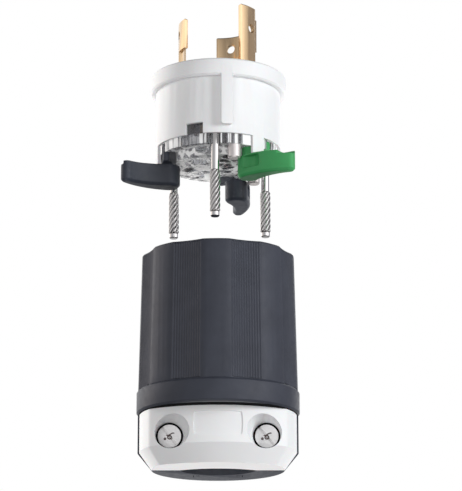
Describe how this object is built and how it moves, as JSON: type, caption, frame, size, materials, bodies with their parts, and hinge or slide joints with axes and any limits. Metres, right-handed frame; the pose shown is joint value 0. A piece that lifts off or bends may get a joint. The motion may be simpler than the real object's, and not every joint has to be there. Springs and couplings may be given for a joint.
{
  "type": "locking power plug",
  "caption": "Round locking power plug shown apart: hooked brass blades, white and clear insert with wire levers, dark fluted housing and white cord clamp jaw.",
  "frame": {"origin": "on the plug's axis, in the base plane under the cord clamp", "axes": "+Z along the axis towards the blades, -Y towards the white clamp jaw"},
  "size_m": [0.0519, 0.0525, 0.1382],
  "materials": {
    "dark_nylon": "fine satin moulded",
    "white_nylon": "smooth semi-gloss moulded",
    "clear_polycarbonate": "clear, polished",
    "green_nylon": "satin moulded",
    "blade_brass": "rolled and polished",
    "screw_chrome": "bright plated",
    "plated_steel": "zinc plated"
  },
  "bodies": {
    "plug": {"housing": "dark_nylon", "blade_body": "white_nylon", "terminal_body": "clear_polycarbonate", "clamp_nut_left": "plated_steel", "clamp_nut_right": "plated_steel", "ground_blade": "blade_brass", "hot_blade": "blade_brass", "neutral_blade": "blade_brass", "ground_pivot_pin": "screw_chrome", "hot_pivot_pin": "screw_chrome", "neutral_pivot_pin": "screw_chrome", "ground_locating_post": "screw_chrome", "hot_locating_post": "screw_chrome", "neutral_locating_post": "screw_chrome", "ground_assembly_screw": "screw_chrome", "hot_assembly_screw": "screw_chrome", "neutral_assembly_screw": "screw_chrome"},
    "jaw": {"clamp_jaw": "white_nylon", "clamp_screw_left": "plated_steel", "clamp_screw_right": "plated_steel"},
    "ground_lever": {"ground_lever": "green_nylon"},
    "hot_lever": {"hot_lever": "dark_nylon"},
    "neutral_lever": {"neutral_lever": "dark_nylon"},
    "ground_plate": {"ground_pressure_plate": "plated_steel"},
    "hot_plate": {"hot_pressure_plate": "plated_steel"},
    "neutral_plate": {"neutral_pressure_plate": "plated_steel"}
  },
  "joints": [
    {"name": "ground_lever_turn", "type": "hinge", "parent": "plug", "child": "ground_lever", "pos_m": [0.00908, -0.01162, 0.0868], "axis": [0, 0, 1], "range_deg": [0, 88]},
    {"name": "hot_lever_turn", "type": "hinge", "parent": "plug", "child": "hot_lever", "pos_m": [-0.01461, -0.00205, 0.0868], "axis": [0, 0, 1], "range_deg": [0, 88]},
    {"name": "neutral_lever_turn", "type": "hinge", "parent": "plug", "child": "neutral_lever", "pos_m": [0.00553, 0.01368, 0.0868], "axis": [0, 0, 1], "range_deg": [0, 88]},
    {"name": "ground_plate_press", "type": "slide", "parent": "plug", "child": "ground_plate", "axis": [-0.0523, 0.9986, 0], "range_m": [0, 0.00071]},
    {"name": "hot_plate_press", "type": "slide", "parent": "plug", "child": "hot_plate", "axis": [0.891, -0.454, 0], "range_m": [0, 0.00071]},
    {"name": "neutral_plate_press", "type": "slide", "parent": "plug", "child": "neutral_plate", "axis": [-0.8387, -0.5446, 0], "range_m": [0, 0.00071]},
    {"name": "jaw_slide", "type": "slide", "parent": "plug", "child": "jaw", "axis": [0, -1, 0], "range_m": [0, 0.003]}
  ],
  "couplings": [
    {"joint": "ground_plate_press", "follows": "ground_lever_turn", "m_per_rad": 0.00045577},
    {"joint": "hot_plate_press", "follows": "hot_lever_turn", "m_per_rad": 0.00045577},
    {"joint": "neutral_plate_press", "follows": "neutral_lever_turn", "m_per_rad": 0.00045577}
  ]
}
